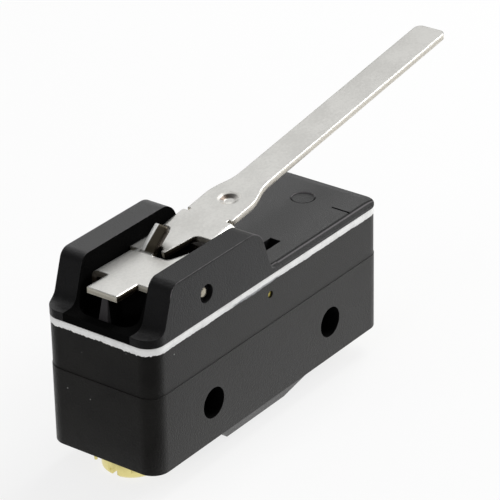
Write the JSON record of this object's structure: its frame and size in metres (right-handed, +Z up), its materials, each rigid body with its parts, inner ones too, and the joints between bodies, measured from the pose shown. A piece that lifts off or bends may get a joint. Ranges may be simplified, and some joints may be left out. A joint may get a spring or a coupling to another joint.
{
  "type": "snap action switch",
  "caption": "Snap action switch with a long hinged metal lever over a moulded case, cross mounting holes and screw terminals.",
  "frame": {"origin": "midway between the two mounting holes, on the case's middle plane", "axes": "+X along the case from the pivot end to the lever's tip, +Y across the case along the mounting holes, +Z up to the lever"},
  "size_m": [0.0746, 0.0174, 0.0359],
  "materials": {
    "base_moulding": "matt black phenolic moulding",
    "cover_moulding": "matt black phenolic moulding",
    "bracket_moulding": "satin black moulding",
    "seal": "white sealing compound",
    "lever_steel": "satin stainless sheet",
    "pin_steel": "ground steel",
    "brass": "bright brass",
    "spring_metal": "copper alloy spring sheet",
    "contact_metal": "silver rivet",
    "plunger_moulding": "smooth dark moulding"
  },
  "bodies": {
    "housing": {"case_base": "base_moulding", "case_cover": "cover_moulding", "seal_band": "seal", "lever_bracket": "bracket_moulding", "pivot_pin": "pin_steel", "cover_pin": "brass", "common_terminal": "brass", "open_terminal": "brass", "closed_terminal": "brass", "closed_contact": "contact_metal", "open_contact": "contact_metal", "common_screw": "brass", "open_screw": "brass", "closed_screw": "brass", "common_washer": "brass", "open_washer": "brass", "closed_washer": "brass", "snap_spring": "spring_metal"},
    "lever": {"lever_hub": "lever_steel", "lever_arm": "lever_steel"},
    "plunger": {"plunger": "plunger_moulding"},
    "blade": {"snap_blade": "spring_metal", "moving_contact": "contact_metal"}
  },
  "joints": [
    {"name": "lever_hinge", "type": "hinge", "parent": "housing", "child": "lever", "pos_m": [-0.0136, 0, 0.01599], "axis": [0, 1, 0], "range_deg": [0, 12], "stiffness_Nm_per_rad": 0.2, "springref_deg": -3.44},
    {"name": "plunger_slide", "type": "slide", "parent": "housing", "child": "plunger", "axis": [0, 0, -1], "range_m": [0, 0.002], "deforming": ["snap_spring"]},
    {"name": "blade_hinge", "type": "hinge", "parent": "housing", "child": "blade", "pos_m": [-0.0141, 0, 0.00634], "axis": [0, 1, 0], "range_deg": [0, 2.2]}
  ],
  "couplings": [
    {"joint": "plunger_slide", "follows": "lever_hinge", "m_per_rad": 0.0095},
    {"joint": "blade_hinge", "follows": "lever_hinge", "ratio": 0.18}
  ]
}
